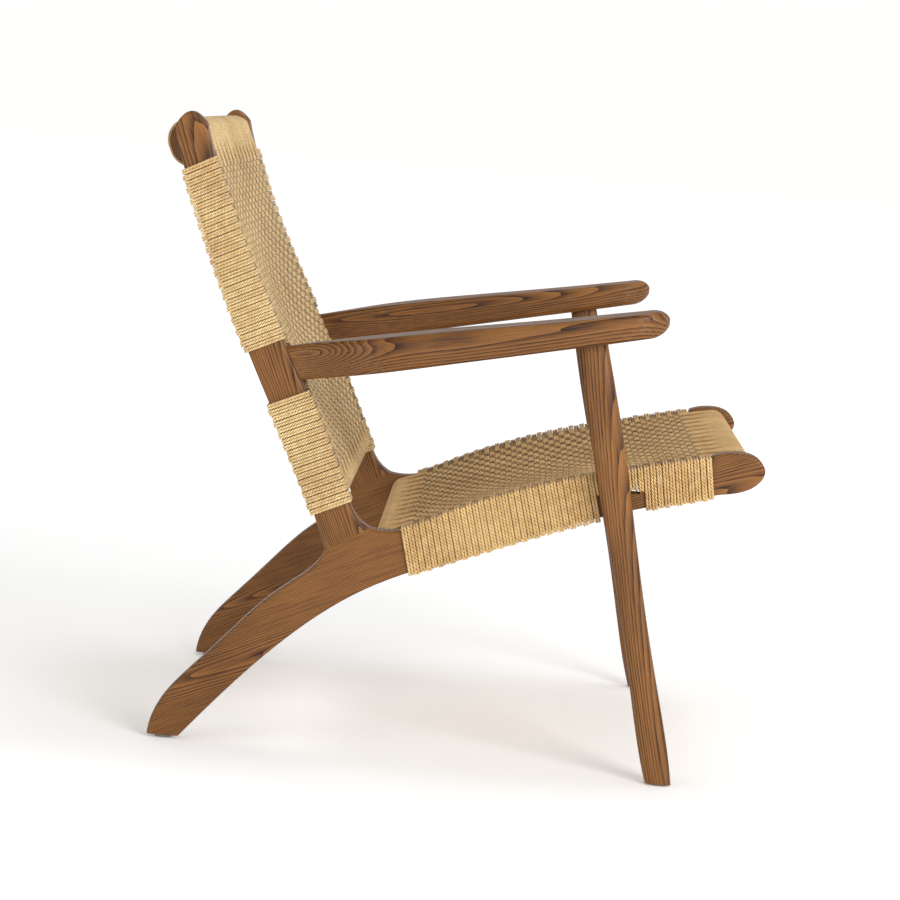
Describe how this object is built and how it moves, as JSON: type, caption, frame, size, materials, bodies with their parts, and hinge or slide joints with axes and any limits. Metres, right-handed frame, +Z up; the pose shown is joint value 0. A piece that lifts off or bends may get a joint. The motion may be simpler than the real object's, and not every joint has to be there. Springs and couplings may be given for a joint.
{
  "type": "low easy chair",
  "caption": "Low open easy chair: a sawn wooden frame with curved rear legs, leaning back and flat arms, strung with woven paper cord.",
  "frame": {"origin": "on the floor, under the middle of the chair's box", "axes": "+Z up, -Y the way the sitter faces, X across the chair with the sitter's right hand at -X; X=0 is the symmetry plane"},
  "size_m": [0.7158, 0.7207, 0.73],
  "materials": {
    "stained_ash": "satin lacquer over brown stained open-grained ash",
    "paper_cord": "natural twisted paper cord",
    "nail_steel": "plain steel wire",
    "screw_steel": "zinc plated",
    "glide_plastic": "grey plastic"
  },
  "bodies": {
    "root": {"back_bottom_rail": "stained_ash", "back_bottom_rail_cord": "paper_cord", "back_top_rail": "stained_ash", "back_top_rail_cord": "paper_cord", "back_weave": "paper_cord", "left_arm": "stained_ash", "left_back_cord_nails": "nail_steel", "left_back_side_cord_lower": "paper_cord", "left_back_side_cord_upper": "paper_cord", "left_back_stile": "stained_ash", "left_front_glide": "glide_plastic", "left_front_leg": "stained_ash", "left_leg_screws": "screw_steel", "left_rear_glide": "glide_plastic", "left_seat_cord_nails": "nail_steel", "left_seat_side_cord_front": "paper_cord", "left_seat_side_cord_rear": "paper_cord", "left_side_rail_and_rear_leg": "stained_ash", "right_arm": "stained_ash", "right_back_cord_nails": "nail_steel", "right_back_side_cord_lower": "paper_cord", "right_back_side_cord_upper": "paper_cord", "right_back_stile": "stained_ash", "right_front_glide": "glide_plastic", "right_front_leg": "stained_ash", "right_leg_screws": "screw_steel", "right_rear_glide": "glide_plastic", "right_seat_cord_nails": "nail_steel", "right_seat_side_cord_front": "paper_cord", "right_seat_side_cord_rear": "paper_cord", "right_side_rail_and_rear_leg": "stained_ash", "seat_front_rail": "stained_ash", "seat_front_rail_cord": "paper_cord", "seat_rear_rail": "stained_ash", "seat_rear_rail_cord": "paper_cord", "seat_weave": "paper_cord"}
  },
  "joints": []
}
